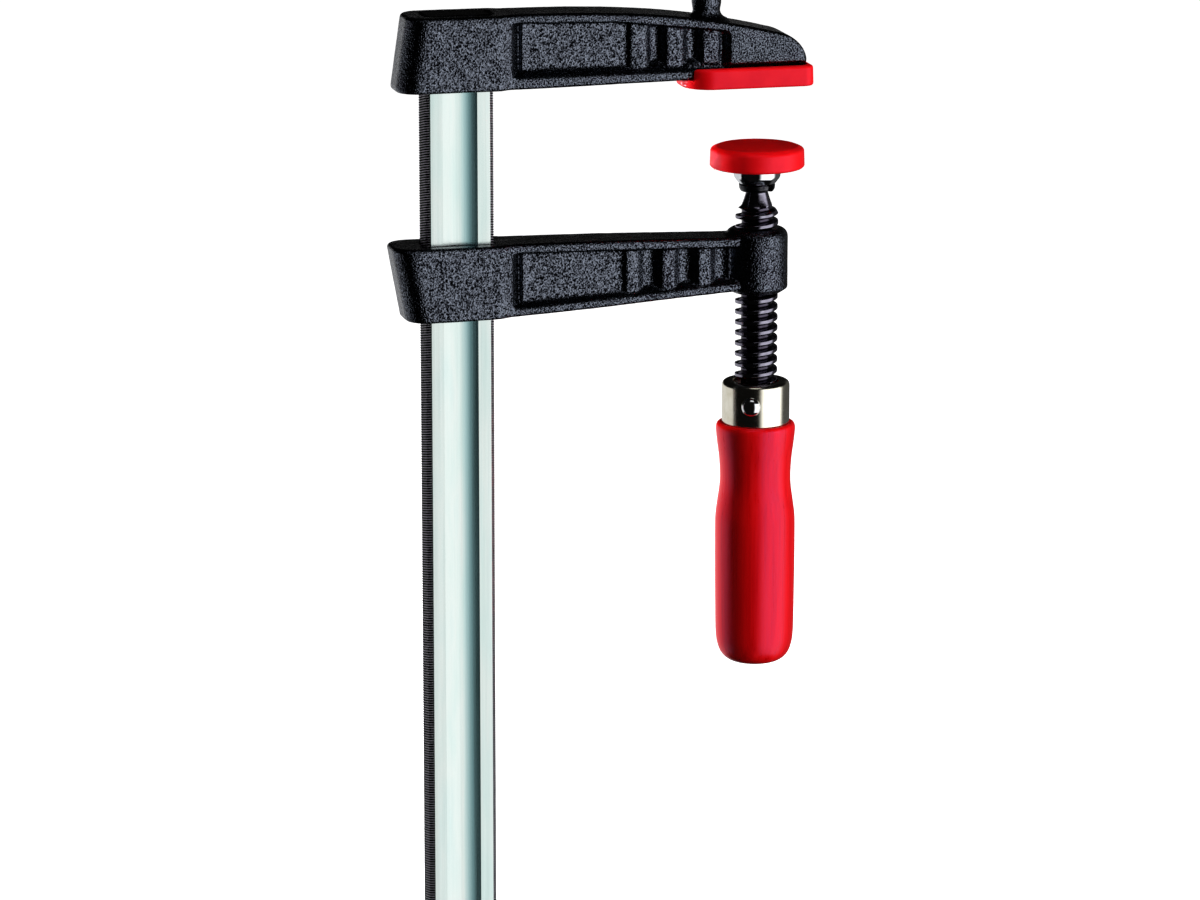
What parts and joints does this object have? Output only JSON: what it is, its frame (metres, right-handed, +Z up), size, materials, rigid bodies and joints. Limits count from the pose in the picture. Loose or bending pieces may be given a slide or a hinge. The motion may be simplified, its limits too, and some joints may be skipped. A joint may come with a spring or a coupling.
{
  "type": "f clamp",
  "caption": "Screw F clamp: a steel rail with a fixed jaw, a sliding arm, and a threaded spindle with a wooden handle and a swivelling padded plate.",
  "frame": {"origin": "centre of the fixed jaw's plastic clamping face, on the spindle's axis", "axes": "+Z up along the rail towards the fixed jaw, +X from the rail to the jaw tips, +Y through the thickness towards the back"},
  "size_m": [0.1186, 0.0264, 0.2705],
  "materials": {
    "rail_steel": "bright zinc plate, fine lengthwise draw lines",
    "cast_coat": "blue-black powder coat over a rough cast skin",
    "pad_plastic": "satin moulded plastic",
    "spindle_steel": "burnished dark steel, lightly oiled",
    "black_steel": "black oxide",
    "plate_steel": "bright turned steel",
    "ferrule_steel": "polished plate with a warm tint",
    "lacquered_wood": "clear gloss over red stain"
  },
  "bodies": {
    "frame": {"rail": "rail_steel", "fixed_jaw": "cast_coat", "fixed_jaw_cap": "pad_plastic"},
    "arm": {"sliding_arm": "cast_coat"},
    "spindle_carrier": {"plate_retaining_ring": "black_steel"},
    "screw": {"spindle": "spindle_steel", "ferrule": "ferrule_steel", "handle_pin": "plate_steel", "handle": "lacquered_wood"},
    "plate": {"pressure_plate": "plate_steel", "pressure_plate_cap": "pad_plastic"}
  },
  "joints": [
    {"name": "arm_slide", "type": "slide", "parent": "frame", "child": "arm", "axis": [0, 0, 1], "range_m": [-0.1725, 0]},
    {"name": "spindle_travel", "type": "slide", "parent": "arm", "child": "spindle_carrier", "axis": [0, 0, 1], "range_m": [-0.009, 0.015]},
    {"name": "spindle_turn", "type": "hinge", "parent": "spindle_carrier", "child": "screw", "pos_m": [0, 0, -0.0237], "axis": [0, 0, 1], "range_deg": [-1080, 1800]},
    {"name": "plate_swivel", "type": "hinge", "parent": "spindle_carrier", "child": "plate", "pos_m": [0, 0, -0.0237], "axis": [0, 1, 0], "range_deg": [-8, 8]}
  ],
  "couplings": [
    {"joint": "spindle_turn", "follows": "spindle_travel", "rad_per_m": 2094.4}
  ]
}
